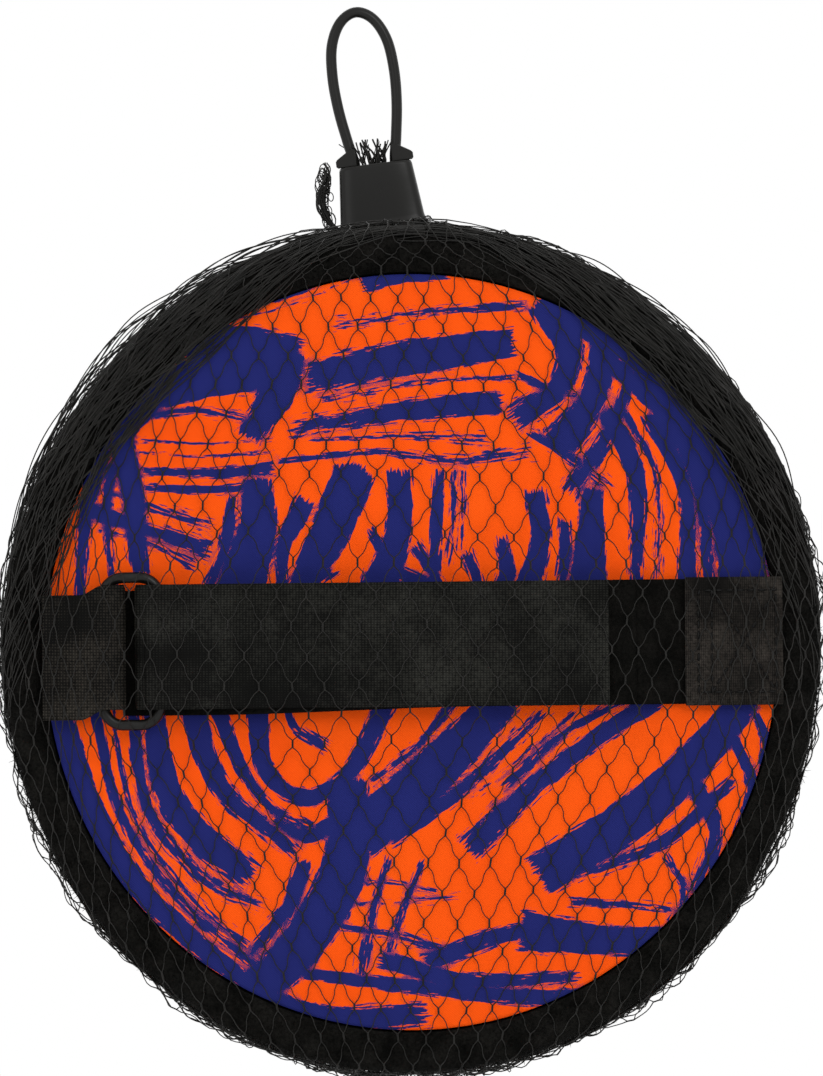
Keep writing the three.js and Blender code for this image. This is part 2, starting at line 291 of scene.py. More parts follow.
def print_fabric():
    """Orange diagonal twill, printed blue where the stroke depth, roughened by bristles, is above 0."""
    s = Shader("printed_twill")
    stroke = s.attribute("stroke").outputs["Vector"]
    ink = s.attribute("ink").outputs["Fac"]
    split = s.node("ShaderNodeSeparateXYZ", Vector=stroke)
    along, across, dry = split.outputs
    stretched = s.node("ShaderNodeCombineXYZ", X=s.math("MULTIPLY", along, 0.11), Y=across, Z=0.0).outputs[0]
    bristle = s.noise(stretched, 1.7, 4.0, 0.62)
    speck = s.noise(s.place((900, 900, 900)), 1.0, 2.0)
    rough_edge = s.math("MULTIPLY", s.math("SUBTRACT", speck, 0.5), 0.5)
    streaks = s.math("MULTIPLY", s.math("SUBTRACT", bristle, 0.5), s.ramp(dry, 0, 1, 2.2, 15.0))
    level = s.math("ADD", s.math("ADD", ink, streaks), rough_edge)
    printed = s.ramp(level, -0.05, 0.05)
    place = s.place(turn=(0, math.radians(33), 0))
    ribs = s.wave(place, 880.0, 0.5, "Z")
    fine = s.wave(s.place(turn=(0, math.radians(-57), 0)), 1500.0, 0.0, "Z")
    patch = s.noise(s.place(), 26.0, 3.0)
    shade = s.ramp(s.math("ADD", s.math("MULTIPLY", ribs, 0.55), s.math("MULTIPLY", patch, 0.6)), 0.15, 0.95)
    orange = s.mix(shade, ORANGE_DEEP, ORANGE_LIGHT)
    blue = s.mix(shade, BLUE_DEEP, BLUE_LIGHT)
    height = s.math("ADD", ribs, s.math("MULTIPLY", fine, 0.35))
    normal = s.bump(height, 0.35, 0.00012)
    return s.finish(s.mix(printed, orange, blue), s.ramp(patch, 0, 1, 0.72, 0.9), normal,
                    Specular_IOR_Level=0.05)


def plush(name, dark, light):
    s = Shader(name)
    fibre = s.noise(s.place(), 1400.0, 4.0, 0.7)
    clump = s.noise(s.place(), 190.0, 3.0)
    blend = s.ramp(s.math("MULTIPLY", fibre, clump), 0.15, 0.42)
    normal = s.bump(s.math("ADD", fibre, s.math("MULTIPLY", clump, 1.5)), 0.8, 0.0006)
    return s.finish(s.mix(blend, dark, light), s.ramp(clump, 0, 1, 0.85, 1.0), normal,
                    Specular_IOR_Level=0.04)


def woven(name, dark, light, rib_scale, across_scale, depth, roughness=(0.6, 0.85)):
    """Ribs along the webbing crossed by finer picks, worn in soft patches."""
    s = Shader(name)
    ribs = s.wave(s.place(), rib_scale, 0.6, "Z")
    picks = s.wave(s.place(), across_scale, 0.8, "X")
    fuzz = s.noise(s.place(), 1300.0, 3.0)
    wear = s.ramp(s.noise(s.place(), 70.0, 3.0), 0.3, 0.7, 0.35, 1.15)
    weave = s.math("MULTIPLY", ribs, picks)
    grain = s.math("ADD", s.math("MULTIPLY", weave, 0.5), s.math("MULTIPLY", fuzz, 0.75))
    tone = s.ramp(s.math("MULTIPLY", grain, wear), 0.25, 0.95)
    normal = s.bump(s.math("ADD", weave, s.math("MULTIPLY", fuzz, 0.4)), 0.6, depth)
    return s.finish(s.mix(tone, dark, light), s.ramp(fuzz, 0, 1, *roughness), normal,
                    Specular_IOR_Level=0.06)


def moulded(name, dark, light):
    s = Shader(name)
    grain = s.noise(s.place(), 900.0, 4.0)
    flow = s.noise(s.place((1, 1, 0.4)), 60.0, 3.0)
    rough = s.ramp(s.math("ADD", flow, s.math("MULTIPLY", grain, 0.3)), 0.4, 0.9, 0.24, 0.42)
    normal = s.bump(grain, 0.12, 0.0001)
    return s.finish(s.mix(flow, dark, light), rough, normal, Specular_IOR_Level=0.24)


def thread_material(name, dark, light):
    s = Shader(name)
    twist = s.wave(s.place(turn=(0.6, 0.5, 0)), 900.0, 1.0, "DIAGONAL")
    tone = s.noise(s.place(), 160.0, 2.0)
    normal = s.bump(twist, 0.4, 0.00005)
    rough = s.ramp(twist, 0, 1, 0.45, 0.65)
    return s.finish(s.mix(tone, dark, light), rough, normal, Specular_IOR_Level=0.15)


def plain_board(name, dark, light):
    s = Shader(name)
    grain = s.noise(s.place(), 500.0, 4.0)
    return s.finish(s.mix(grain, dark, light), s.ramp(grain, 0, 1, 0.7, 0.95), s.bump(grain, 0.3, 0.0003))


PRINT = print_fabric()
PLUSH = plush("black_plush", srgb(7, 7, 6), srgb(28, 27, 25))
LOOP = plush("black_loop_pile", srgb(6, 6, 5), srgb(21, 20, 18))
FELT = plush("orange_felt", srgb(236, 92, 20), srgb(255, 146, 62))
HOOK = woven("black_hook_tape", srgb(9, 9, 8), srgb(52, 52, 48), 520.0, 419.0, 0.00025)
WEBBING = woven("black_webbing", srgb(10, 10, 9), srgb(62, 58, 52), 430.0, 430.0, 0.0003)
PATCH = woven("charcoal_patch", srgb(14, 13, 12), srgb(70, 65, 60), 820.0, 700.0, 0.00015, (0.75, 0.95))
PLASTIC = moulded("black_plastic", srgb(8, 8, 7), srgb(22, 21, 18))
THREAD = thread_material("black_thread", srgb(6, 6, 5), srgb(16, 15, 14))
NET = thread_material("black_net_thread", srgb(12, 12, 11), srgb(48, 47, 45))
BOARD = plain_board("grey_board", srgb(120, 115, 108), srgb(150, 146, 138))
SPONGE = plain_board("sponge", srgb(170, 168, 160), srgb(205, 202, 195))


# ---- camera first: straight on to the front disc ----
VIEW_HEIGHT = 258.3  # millimetres across the frame's height, at the front disc
CAMERA_DISTANCE = 5000.0
camera_data = bpy.data.cameras.new("camera")
camera_data.sensor_width = 36.0
camera_data.lens = camera_data.sensor_width * CAMERA_DISTANCE / VIEW_HEIGHT
camera_data.clip_end = 50.0
camera = bpy.data.objects.new("camera", camera_data)
bpy.context.collection.objects.link(camera)
camera.location = on_disc([0.1, -COVER_FRONT - CAMERA_DISTANCE, 27.4])[0]
camera.rotation_euler = (math.pi / 2, 0, 0)
bpy.context.scene.camera = camera


# ---- the discs ----
def plush_pad(side):
    """The catch face and the rolled rim in one lumpy lathe."""
    corner = RIM_CORNER
    inner = COVER_RADIUS + 0.3
    recess = COVER_BACK - 6.5
    edge = DISC_RADIUS - corner
    profile = [(0.01, PAD_BACK + 0.4), (80, PAD_BACK + 0.4)]
    for a in np.radians(np.linspace(-90, 0, 9)):
        profile.append((edge + corner * math.cos(a), PAD_BACK + corner * (1 + math.sin(a))))
    for a in np.radians(np.linspace(0, 90, 9)):
        profile.append((edge + corner * math.cos(a), RIM_FRONT - corner * (1 - math.sin(a))))
    profile += [(edge - 2, RIM_FRONT + 0.1), (inner + 1, RIM_FRONT - 0.2), (inner + 0.1, RIM_FRONT - 1),
                (inner, recess), (0.01, recess)]
    profile = even(np.array(profile), 1.25)
    segments = 360
    angle = np.arange(segments) * 2 * math.pi / segments
    r, depth = profile[:, 0][:, None], profile[:, 1][:, None]
    round_points = [(math.cos(a), math.sin(a)) for a in angle]
    lump = np.array([[noise.fractal(Vector((c * 14, s * 14, d * 0.35)), 1, 2, 3) for c, s in round_points]
                     for d in profile[:, 1]])
    fine = np.array([[noise.noise(Vector((c * 75, s * 75, d * 0.9 + q * 0.3))) for c, s in round_points]
                     for d, q in profile])
    rim = smooth((r - inner) / 4) * smooth((depth - PAD_BACK - 0.5) / 2)
    swell = 1 + (0.0022 * lump + 0.0012 * fine) * rim
    x = OVAL_X * r * swell * np.cos(angle)
    z = OVAL_Z * r * swell * np.sin(angle)
    y = -(depth + (0.2 * lump + 0.1 * fine) * rim)
    verts = np.stack([x, np.broadcast_to(y, x.shape), z], -1).reshape(-1, 3)
    obj = mesh_object(f"{side}_plush_rim", on_disc(verts, side), capped_tube(len(profile), segments), PLUSH)
    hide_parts(f"{side}_catch_pad")
    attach(obj, "bag")


def pile(side, seed, count=15000):
    """Loose loops of the plush, standing off the rim."""
    random = np.random.default_rng(seed)
    edge = DISC_RADIUS - RIM_CORNER
    around = random.uniform(0, 2 * math.pi, count)
    where = random.uniform(0, 1, count)
    tilt = np.where(where < 0.45, 90.0, np.where(where < 0.8, (0.8 - where) / 0.35 * 90, 0.0))
    out, up = np.cos(np.radians(tilt)), np.sin(np.radians(tilt))
    radial = np.where(where < 0.45, COVER_RADIUS + 1 + where / 0.45 * (edge - COVER_RADIUS - 1),
                      edge + RIM_CORNER * out)
    depth = np.where(where < 0.8, RIM_FRONT - RIM_CORNER * (1 - up),
                     PAD_BACK + 3 + random.uniform(0, 1, count) * (RIM_FRONT - PAD_BACK - 7))
    normal = np.stack([out * np.cos(around), -up, out * np.sin(around)], 1)
    root = np.stack([OVAL_X * radial * np.cos(around), -depth, OVAL_Z * radial * np.sin(around)], 1)
    lean = normal + random.normal(0, 0.55, (count, 3))
    lean /= np.linalg.norm(lean, axis=1)[:, None]
    length = random.uniform(0.5, 1.5, count)[:, None]
    side_way = np.cross(lean, random.normal(0, 1, (count, 3)))
    side_way /= np.linalg.norm(side_way, axis=1)[:, None]
    width = random.uniform(0.05, 0.09, count)[:, None]
    bend = random.normal(0, 0.3, (count, 3)) * length
    levels = [root - normal * 0.2, root + lean * length * 0.5 + bend * 0.3, root + lean * length + bend]
    verts = np.stack([level + sign * side_way * width * taper for level, taper in zip(levels, (1, 0.9, 0.4))
                      for sign in (-1, 1)], 1).reshape(-1, 3)
    base = np.arange(count)[:, None] * 6
    faces = np.vstack([base + [0, 1, 3, 2], base + [2, 3, 5, 4]])
    obj = mesh_object(f"{side}_plush_pile", on_disc(verts, side), faces, PLUSH, shade=False)
    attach(obj, "bag")


# Brush strokes of the print: width, dryness of the far end, then points in millimetres from the centre.
STROKES = [
    (10, 0.3, (-63, 62), (-46, 67), (-28, 68)), (7, 0.3, (-53, 73), (-40, 75), (-28, 73)),
    (11, 0.3, (-31, 70), (-33, 61), (-38, 53)), (2.5, 0.5, (-62, 57), (-50, 58), (-40, 56)),
    (0.9, 0, (-42, 80), (-27, 84), (-14, 90)), (1.5, 0.1, (-43, 82), (-28, 86), (-19, 91)),
    (2, 0.5, (-34, 87), (-27, 89), (-22, 91)), (4.5, 0.2, (-10, 89), (-2, 91), (7, 91)),
    (2, 0.6, (10, 92), (20, 91), (28, 88)), (0.9, 0, (-66, 51), (-50, 50), (-35, 51)),
    (0.9, 0, (-67, 48), (-50, 47), (-35, 48)), (3.2, 0.35, (-63, 43.5), (-48, 43), (-35, 44)),
    (2.2, 0.35, (-63, 39.5), (-48, 39), (-36, 40)), (5.5, 0.3, (-61, 61), (-69, 52), (-67, 39), (-65, 20)),
    (4, 0.4, (-74, 50), (-78, 33), (-80, 12)), (3, 0.4, (-72, 44), (-73, 32), (-71, 12)),
    (6, 0.6, (-77, 34), (-62, 29), (-50, 25)), (2, 0.6, (-73, 29), (-62, 26), (-54, 22)),
    (2, 0.6, (-71, 38), (-60, 34), (-50, 31)), (8, 0.75, (23, 74), (2, 71), (-24, 66)),
    (5, 0.8, (20, 60), (0, 58), (-26, 54)), (2.0, 0.7, (26, 83), (8, 82), (-16, 79)),
    (1.6, 0.7, (23, 66), (4, 65), (-20, 61)), (2.4, 0.6, (-30, 46), (-8, 48), (10, 46), (26, 48)),
    (1.4, 0.7, (-22, 51), (0, 52), (16, 51)),
    (11.5, 0.25, (33, 84), (54, 74), (68, 57), (76, 38), (79, 24), (79, 12)),
    (4, 0.4, (46, 71), (60, 58), (69, 40), (72, 12)), (2, 0.5, (71, 64), (81, 42), (87, 18)),
    (10, 0.5, (33, 83), (38, 73), (35, 63), (26, 57)), (11, 0.5, (47, 78), (44, 62), (36, 50)),
    (5, 0.7, (53, 66), (47, 52), (39, 40)), (3, 0.8, (30, 52), (38, 47), (45, 41)),
    (2, 0.9, (27, 66), (36, 62), (46, 62)), (4.5, 0.45, (47, 57), (54, 42), (54, 12)),
    (2, 0.5, (51, 58), (59, 42), (59, 20)), (6.5, 0.3, (58, 56), (66, 38), (66, 12)),
    (2, 0.5, (84, 27), (86, 20), (87, 12)), (10.5, 0.15, (-37, 40), (-37, 29), (-42, 12)),
    (3, 0.4, (-43, 36), (-45, 24), (-50, 13)), (9.5, 0.2, (-14, 42), (-19, 30), (-28, 12)),
    (5, 0.2, (-26, 35), (-31, 24), (-30, 12)), (7, 0.2, (-21, 20), (-26, 16), (-32, 12)),
    (10, 0.2, (-3, 42), (-3, 29), (-9, 12)), (4, 0.3, (-9, 28), (-4, 20), (4, 16)),
    (3, 0.3, (6.7, 42), (6, 30), (5, 12)), (1.4, 0.7, (10.5, 42), (10, 32), (9, 24)),
    (1.2, 0.7, (12.5, 42), (12.5, 34), (12, 27)), (4, 0.2, (2, 24), (6, 18), (10, 12)),
    (8, 0.15, (30, 37), (31, 26), (27, 12)), (9, 0.15, (43.5, 38), (43, 26), (42, 12)),
    (4, 0.2, (22, 26), (23, 19), (20, 12)), (3, 0.4, (37, 30), (37, 22), (35, 12)),
    (3, 0.4, (14, 22), (16, 17), (17, 12)),
    (9, 0.45, (-85, -16), (-78, -36), (-65, -57), (-44, -76), (-26, -87)),
    (4, 0.6, (-76, -14), (-70, -38), (-56, -59), (-34, -78)),
    (2, 0.6, (-72, -14), (-66, -40), (-50, -62), (-30, -77)),
    (7, 0.5, (-62, -12), (-59, -32), (-51, -44), (-40, -53)),
    (3, 0.7, (-67, -14), (-63, -38), (-50, -54), (-38, -60)), (5.5, 0.5, (-53, -12), (-46, -32), (-29, -47)),
    (4, 0.4, (-47, -12), (-41, -27), (-33, -38), (-22, -43)),
    (7, 0.3, (-37, -12), (-35, -28), (-25, -35), (-14, -28), (-6, -12)),
    (3, 0.4, (-30, -12), (-28, -18), (-22, -22)), (4, 0.4, (-32, -41), (-25, -44), (-18, -41)),
    (10.5, 0.3, (-15, -32), (-16, -52), (-27, -71), (-39, -82)), (4, 0.5, (-26, -52), (-30, -62), (-38, -72)),
    (1.5, 0.4, (-19, -56), (-7, -55), (4, -57)), (1.5, 0.5, (-19, -61), (-6, -60), (8, -59)),
    (3, 0.6, (-16, -66), (-4, -68), (9, -72)), (2.5, 0.7, (-6, -51), (-9, -62), (-12, -78)),
    (2, 0.7, (2, -52), (-2, -62), (-6, -74)), (11, 0.35, (-12, -44), (4, -30), (22, -12)),
    (4, 0.5, (-4, -44), (12, -33), (30, -16)), (3, 0.5, (10, -12), (2, -22), (-8, -30)),
    (7.5, 0.4, (58, -12), (47, -19), (31, -31), (15, -46)), (3, 0.6, (50, -12), (36, -20), (24, -31)),
    (10, 0.35, (80, -12), (70, -24), (54, -39), (32, -53)), (3, 0.5, (76, -32), (60, -46), (38, -54)),
    (0.9, 0.2, (40, -14), (28, -24), (16, -34)), (0.9, 0.2, (44, -14), (32, -25), (20, -36)),
    (12, 0.25, (70, -70), (46, -69), (28, -67)), (5, 0.35, (50, -67), (26, -67), (5, -74)),
    (4, 0.4, (-26, -77), (-2, -80), (34, -83), (55, -80)), (6, 0.5, (-40, -80), (-22, -88), (2, -87)),
    (4, 0.4, (-6, -74), (14, -79), (38, -78)), (2, 0.5, (40, -60), (56, -61), (70, -63)),
    (6, 0.65, (68, -32), (73, -43), (69, -57)), (5, 0.6, (77, -20), (82, -32), (79, -46)),
    (3, 0.4, (82, -14), (85, -20), (85, -29)), (2, 0.7, (62, -50), (66, -58), (62, -66)),
    (3, 0.6, (-70, -50), (-60, -62), (-52, -70)),
]


def print_field(x, z):
    """For each point: ink depth into the nearest stroke, and where along, across and how dry that is."""
    best = np.full(x.shape, -9.0)
    stroke = np.zeros(x.shape + (3,))
    for number, (width, dry, *points) in enumerate(STROKES):
        line = catmull(points, 7)
        run = np.concatenate([[0], np.cumsum(np.linalg.norm(np.diff(line, axis=0), axis=1))])
        for k, (a, b) in enumerate(zip(line[:-1], line[1:])):
            step = b - a
            size = float(np.hypot(*step)) + 1e-9
            t = ((x - a[0]) * step[0] + (z - a[1]) * step[1]) / size**2
            t = np.clip(t, -9 / size if k == 0 else 0, 1 + (9 / size if k == len(line) - 2 else 0))
            dx, dz = x - a[0] - t * step[0], z - a[1] - t * step[1]
            along = run[k] + t * size
            end = along / run[-1]
            half = width / 2 * (0.85 + 0.25 * np.sin(end * 2.6 + number))
            # Flat, bristly ends: the ink thins out over a few millimetres past each end.
            ends = np.minimum(along, run[-1] - along) * 0.7 + 1.2
            ink = np.minimum(half - np.hypot(dx, dz), ends)
            across = (dx * -step[1] + dz * step[0]) / size
            closer = ink > best
            best = np.where(closer, ink, best)
            ragged = np.maximum(dry * smooth(end), 0.22 * (ends < 3))
            value = np.stack([along + number * 37.0, across + number * 11.0, ragged], -1)
            stroke = np.where(closer[..., None], value, stroke)
    return best, stroke


def cover(side):
    """Printed twill stretched over the board, puffed a little in each net cell, its edge turned under."""
    rings, segments = 104, 460
    r = COVER_RADIUS * np.linspace(0.004, 1, rings)
    angle = np.arange(segments) * 2 * math.pi / segments
    x = OVAL_X * r[:, None] * np.cos(angle)
    z = OVAL_Z * r[:, None] * np.sin(angle)
    column, row = net_coordinates(x, z)
    free = smooth((COVER_RADIUS - r[:, None]) / 8)
    puff = 0.16 * (1 - np.cos(2 * math.pi * column) * np.cos(math.pi * row)) * free
    under_strap = smooth(1 - (np.abs(z - STRAP_HEIGHT) - WEBBING_WIDTH / 2) / 4)
    y = -(COVER_FRONT - 0.25 + puff * (1 - under_strap))
    front = np.stack([x, y, z], -1).reshape(-1, 3)
    edge = front[-segments:] * [1, 0, 1] - [0, COVER_BACK + 0.3, 0]
    middle = front[:segments] * [1, 0, 1] - [0, COVER_BACK + 0.3, 0]
    verts = np.vstack([front, edge, middle])
    faces = grid_faces(rings + 2, segments, wrap_columns=True).tolist()
    last = (rings + 1) * segments
    faces += [list(range(segments))[::-1], [last + k for k in range(segments)]]
    obj = mesh_object(f"{side}_printed_cover", on_disc(verts, side), faces, PRINT)
    ink, stroke = print_field(verts[:, 0], verts[:, 2])
    obj.data.attributes.new("ink", "FLOAT", "POINT").data.foreach_set("value", ink.astype(np.float32))
    field = obj.data.attributes.new("stroke", "FLOAT_VECTOR", "POINT")
    field.data.foreach_set("vector", stroke.astype(np.float32).ravel())
    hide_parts(f"{side}_cover")
    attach(obj, "bag")


# ---- strap pieces ----
def ribbon(points, thickness, width, relief, step=0.45, across_step=0.5):
    """Webbing along a line of (x, depth) points: a closed strip with a relief on its outer face."""
    line = even(catmull(points, 10), step)
    tangent = np.gradient(line, axis=0)
    tangent /= np.linalg.norm(tangent, axis=1)[:, None]
    normal = np.stack([-tangent[:, 1], tangent[:, 0]], 1)
    rows = len(line)
    run = np.concatenate([[0], np.cumsum(np.linalg.norm(np.diff(line, axis=0), axis=1))])
    w = np.linspace(-width / 2, width / 2, int(width / across_step) + 1)
    fall = np.clip((width / 2 - np.abs(w)) / (thickness * 0.8), 0.25, 1) ** 0.5
    s, across = np.meshgrid(run, w, indexing="ij")
    outer = thickness / 2 * fall[None, :] + relief(s, across)
    inner = np.broadcast_to(-thickness / 2 * fall[None, :], outer.shape)
    shell = []
    for offset, order in ((outer, slice(None)), (inner, slice(None, None, -1))):
        px = line[:, None, 0] + normal[:, None, 0] * offset
        pd = line[:, None, 1] + normal[:, None, 1] * offset
        pz = np.broadcast_to(w[None, :], px.shape)
        shell.append(np.stack([px, -pd, pz], -1)[:, order])
    around = np.concatenate(shell, axis=1)
    columns = around.shape[1]
    faces = grid_faces(rows, columns, wrap_columns=True).tolist()
    half = columns // 2
    for start, flip in ((0, False), ((rows - 1) * columns, True)):
        for k in range(half - 1):
            quad = [start + k, start + k + 1, start + columns - 2 - k, start + columns - 1 - k]
            faces.append(quad if flip else quad[::-1])
    return around.reshape(-1, 3), faces


def arc(x, depth, radius, start, end, count=9):
    turn = np.radians(np.linspace(start, end, count))
    return [(x + radius * math.cos(a), depth + radius * math.sin(a)) for a in turn]


def hook_relief(s, w):
    """A soft wave with a slightly thinner selvedge."""
    inside = smooth((WEBBING_WIDTH / 2 - 1.4 - np.abs(w)) / 0.8)
    sag = 0.1 * np.sin(s * 0.11) * np.cos(w * 0.12)
    return sag + 0.06 * inside + 0.03 * np.sin(s * 3.1) * np.sin(w * 2.9)


def rib_relief(s, w):
    return 0.1 * np.sin(w * 2 * math.pi / 1.1) * (0.6 + 0.4 * np.sin(s * 2 * math.pi / 1.4))


def loop_relief(s, w):
    inside = smooth((WEBBING_WIDTH / 2 - 1.8 - np.abs(w)) / 0.6)
    return 0.16 * inside + 0.04 * np.sin(s * 7.1) * np.sin(w * 6.3) * inside


def grain_relief(s, w):
    return 0.05 * np.sin(s * 4.7 + w * 2.2) * np.sin(w * 5.1) - 0.12 * smooth((np.abs(w) - 12.0) / 1.2)


STRAP_FOLD = (-62.4, RING_DEPTH, 3.2)
HOOK_END = 47.5
PATCH_FROM, PATCH_TO = 65.8, 89.2
PATCH_LAYER = COVER_FRONT + 0.9
PATCH_FRONT = PATCH_LAYER + 2.2


def strap_piece(side, name, shape, material, body, node=None, skew=None):
    """One piece of the strap; skew lowers it by millimetres that depend on its place along the strap."""
    verts, faces = shape
    if skew:
        verts = verts - np.outer(skew(verts[:, 0]), [0, 0, 1])
    obj = mesh_object(f"{side}_{name}", on_strap(verts, side), faces, material)
    if node:
        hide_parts(f"{side}_{node}")
    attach(obj, body)


def stitches(line, length=2.1, gap=0.5, radius=0.33):
    """Short raised stitches along a line of 3-D points."""
    path = even(line, (length + gap) / 2)
    parts = []
    for a, b in zip(path[:-1:2], path[1::2]):
        t = np.linspace(0, 1, 5)[:, None]
        arch = np.array([0.25, 0.8, 1, 0.8, 0.25])
        points = a + (b - a) * (0.5 + (t - 0.5) * length / ((length + gap) / 2) * 0.98)
        points = points - np.array([0, 1, 0]) * (arch[:, None] - 0.5) * 0.16
        parts.append(sweep(points, radius * arch, 6))
    return parts


def hand_strap(side):
    fold = arc(*STRAP_FOLD, -135, -270, 10)
    hook = [*fold, (-50, 50.5), (-38, 49.9), (-20, 49.7), (20, 49.75), (HOOK_END, 49.6)]
    strap_piece(side, "hook_tape", ribbon(hook, 1.2, WEBBING_WIDTH, hook_relief), HOOK,
                f"{side}_strap_end", "hook_strap")
    loop = [(-69.0, 43.5), (-60.0, 43.5), (-56, 43.9), (-52, 44.9), (-46, 46.5), (-40, 47.8), (-34, 48.1),
            (0, 48.1), (48, 48.1), (54, 47.2), (60, 45.2), (65, PATCH_LAYER), (75, PATCH_LAYER),
            (PATCH_TO - 1.5, PATCH_LAYER)]
    strap_piece(side, "loop_tape", ribbon(loop, 0.9, WEBBING_WIDTH, loop_relief), LOOP,
                "bag", "loop_strap", lambda x: 1.5 * smooth((20 - x) / 70))
    tab = [(-85.4, COVER_FRONT + 1), (-78, COVER_FRONT + 1.1), *arc(-72, RING_DEPTH, 3, -90, 90), (-78, 49.2),
           (-82, 47.6), (-88.4, 46.1)]
    strap_piece(side, "ring_webbing", ribbon(tab, 1.15, WEBBING_WIDTH, rib_relief), WEBBING,
                "bag", "ring_tab", lambda x: 2.4 * smooth((-73.5 - x) / 6))
    patch = [(PATCH_FROM, PATCH_FRONT - 0.7), (70, PATCH_FRONT - 0.6), (82, PATCH_FRONT - 0.6),
             (PATCH_TO, PATCH_FRONT - 0.8)]
    patch_shape = ribbon(patch, 1.3, WEBBING_WIDTH + 0.8, grain_relief)
    strap_piece(side, "sewn_patch", patch_shape, PATCH,
                "bag", "anchor_patch")
    left, right, half = PATCH_FROM + 3.2, PATCH_TO - 1.6, 12.2
    depth = -(PATCH_FRONT + 0.22)
    inner = left + 3.2
    lower_left, upper_left = (left, depth, -half), (left, depth, half)
    lower_right, upper_right = (right, depth, -half), (right, depth, half)
    lower_inner, upper_inner = (inner, depth, -half), (inner, depth, half)
    box = [lower_left, upper_left, upper_right, lower_right, lower_left]
    second = [lower_inner, upper_inner]
    cross = [[upper_inner, lower_right], [lower_inner, upper_right]]
    rows = [part for line in (box, second, *cross) for part in stitches(np.array(line, float))]
    strap_piece(side, "box_stitches", joined(rows), THREAD, "bag", "box_stitching")


def buckle(side):
    """The ring: a round bar along a rounded rectangle."""
    half_x, half_z = RING_HALF_WIDTH - RING_BAR, RING_HALF_HEIGHT - RING_BAR
    corner = RING_CORNER - RING_BAR
    points = []
    for centre_x, centre_z, start in ((1, 1, 0), (-1, 1, 90), (-1, -1, 180), (1, -1, 270)):
        for a in np.radians(np.linspace(start, start + 90, 12)):
            points.append((centre_x * (half_x - corner) + corner * math.cos(a), 0,
                           centre_z * (half_z - corner) + corner * math.sin(a)))
    path = even(np.array(points + points[:1]), 0.9)[:-1] + [RING_X, -RING_DEPTH, -1]
    shape = sweep(path, RING_BAR, 14, closed=True)
    strap_piece(side, "buckle_ring", shape, PLASTIC, f"{side}_buckle", "ring")


# ---- the net: hexagonal cells on the unrolled bag ----
CELL_TURN = math.radians(5)
FRONT_COLUMNS, HALF_COLUMNS = 14, 20
ROW = 7.0
ROLL = RIM_CORNER
ROLL_FROM = DISC_RADIUS - ROLL
ROLL_TO = ROLL_FROM + ROLL * math.pi / 2
UNROLLED = ROLL_TO + RIM_FRONT - ROLL  # from the disc's centre over the rim to the middle of the edge band
SPREAD = DISC_RADIUS - 1.4
RIM_COLUMN = SPREAD * math.sin(FRONT_COLUMNS * CELL_TURN)
RIM_STEP = SPREAD * math.cos(FRONT_COLUMNS * CELL_TURN) * CELL_TURN
BAND_COLUMNS = HALF_COLUMNS - FRONT_COLUMNS
BAND_CURVE = (UNROLLED - RIM_COLUMN - RIM_STEP * BAND_COLUMNS) / BAND_COLUMNS ** 2
GATHER_FROM = ROLL_FROM - 3
NECK_X = -6.8


def column_place(column):
    """Unrolled distance from the middle, at the disc's mid-height, of a net column."""
    c = np.abs(column)
    beyond = np.maximum(c - FRONT_COLUMNS, 0)
    near = SPREAD * np.sin(np.minimum(c, FRONT_COLUMNS) * CELL_TURN)
    return np.sign(column) * (near + RIM_STEP * beyond + BAND_CURVE * beyond**2)


def narrowing(z):
    return np.sqrt(np.clip(1 - (z / UNROLLED) ** 2, 0, 1))


def drift(z):
    """How far the columns lean towards the neck."""
    return NECK_X * smooth((z - 40) / 90)


def net_coordinates(x, z):
    """Column and row of a point of the flat face, for the puffs between the threads."""
    wide = (x - drift(z)) / np.maximum(narrowing(z), 0.3)
    column = np.arcsin(np.clip(wide / SPREAD, -0.99, 0.99)) / CELL_TURN
    return column, z / ROW


def strap_rise(x):
    """How far the strap holds the net off the cover's face."""
    stations = [-95, -88, -83, -76, -68, -60, -46, 44, 49, 60, 68, 90, 95]
    heights = [0.3, 3.6, 5.0, 7.6, 8.3, 8.2, 7.3, 7.2, 6.6, 3.6, 3.2, 3.0, 0.3]
    return np.interp(x, stations, heights)


def over_rim(run, loose):
    """Unrolled distance from the centre to radius and depth, round the rim's edge and along the band."""
    roll = np.clip((run - ROLL_FROM) / ROLL, 0, math.pi / 2)
    radius = np.minimum(run, ROLL_FROM) + (ROLL + loose) * np.sin(roll)
    return radius, RIM_FRONT - ROLL + (ROLL + loose) * np.cos(roll) - np.maximum(run - ROLL_TO, 0)


def bag_surface(x, z, loose):
    """Unrolled (x, z) to a point on the bag's front half, loose millimetres outside its contents."""
    run = np.hypot(x, z) + 1e-9
    angle = np.arctan2(z, x)
    # In the upper half the neck pulls the edge columns together along the rim.
    pulled = smooth((np.degrees(angle) - 12) / 26) * smooth((168 - np.degrees(angle)) / 26)
    near_neck = smooth((run - 108) / 25) * smooth((z - 85) / 30)
    beyond = np.maximum(run - GATHER_FROM, 0)
    gathered = GATHER_FROM + np.where(beyond < 36, beyond * 0.3, 10.8 + (beyond - 36) * 2.9)
    aim = np.where(run > GATHER_FROM, np.minimum(gathered, np.minimum(run, UNROLLED)), run)
    run = run + (aim - run) * pulled * (1 - near_neck)
    radius, depth = over_rim(run, loose)
    flat_x, flat_z = OVAL_X * radius * np.cos(angle), OVAL_Z * radius * np.sin(angle)
    tent = smooth(1 - (np.abs(flat_z - STRAP_HEIGHT) - WEBBING_WIDTH / 2 - 0.8) / 13)
    depth = depth + strap_rise(flat_x) * tent * (run < ROLL_TO)
    return np.stack([flat_x, -np.maximum(depth, 0), flat_z], -1)


